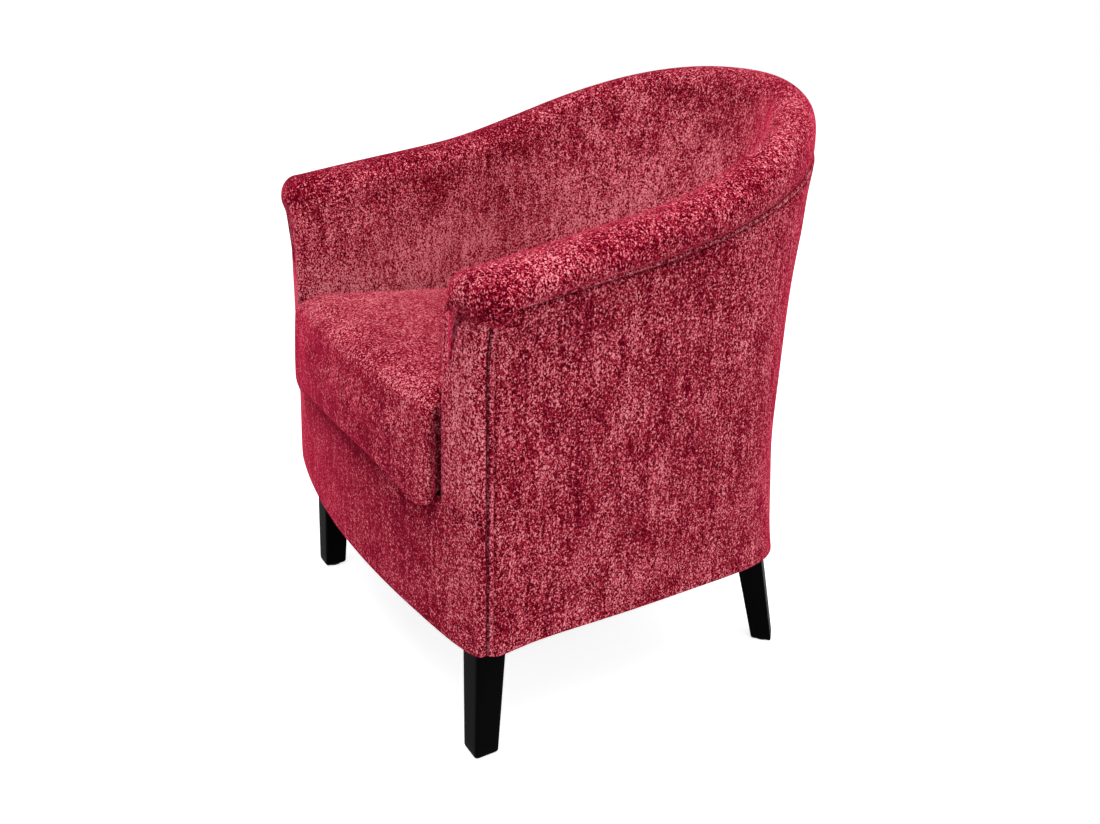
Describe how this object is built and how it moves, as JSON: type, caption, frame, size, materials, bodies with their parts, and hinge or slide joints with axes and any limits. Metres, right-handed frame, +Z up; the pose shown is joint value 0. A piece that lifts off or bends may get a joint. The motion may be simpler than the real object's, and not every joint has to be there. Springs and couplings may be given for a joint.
{
  "type": "upholstered tub chair",
  "caption": "Upholstered tub chair: a low rounded back runs into sloping rolled arms round a loose bow-fronted seat cushion, on tapered dark wooden legs.",
  "frame": {"origin": "on the floor under the middle of the chair's overall box", "axes": "+Z up, the seat faces -Y, +X is the sitter's left"},
  "size_m": [0.6294, 0.6355, 0.7782],
  "materials": {
    "chenille": "mottled crimson chenille with pale flecks",
    "foam": "upholstery foam",
    "black_wood": "black satin lacquer",
    "frame_timber": "sawn beech",
    "zinc_steel": "zinc plated",
    "webbing": "woven elastic webbing",
    "lining_cloth": "black lining cloth",
    "nylon": "moulded nylon"
  },
  "bodies": {
    "chair": {"arm_facing_left": "chenille", "arm_facing_right": "chenille", "arm_rail_left": "frame_timber", "arm_rail_right": "frame_timber", "arm_roll_left": "chenille", "arm_roll_right": "chenille", "arm_webbing_left": "webbing", "arm_webbing_right": "webbing", "back_post_left": "frame_timber", "back_post_right": "frame_timber", "back_rail": "frame_timber", "back_roll": "chenille", "back_webbing": "webbing", "block_screws": "zinc_steel", "corner_blocks": "frame_timber", "deck_cloth": "lining_cloth", "deck_pad": "foam", "dust_cover": "lining_cloth", "frame_dowels": "frame_timber", "front_border": "chenille", "front_leg_left": "black_wood", "front_leg_right": "black_wood", "front_post_left": "frame_timber", "front_post_right": "frame_timber", "front_rail": "frame_timber", "hanger_bolts": "zinc_steel", "inside_arm_left": "chenille", "inside_arm_right": "chenille", "inside_back": "chenille", "leg_glides": "nylon", "leg_t_nuts": "zinc_steel", "outside_arm_left": "chenille", "outside_arm_right": "chenille", "outside_back": "chenille", "rear_leg_left": "black_wood", "rear_leg_right": "black_wood", "seat_springs": "zinc_steel", "side_rail_left": "frame_timber", "side_rail_right": "frame_timber", "spring_clips": "zinc_steel", "stay_rail": "frame_timber", "top_rail": "frame_timber"},
    "seat_cushion": {"seat_cushion_cover": "chenille", "seat_cushion_core": "foam"}
  },
  "joints": [
    {"name": "cushion_lift", "type": "slide", "parent": "chair", "child": "seat_cushion", "axis": [0, 0, 1], "range_m": [0, 0.35]}
  ]
}
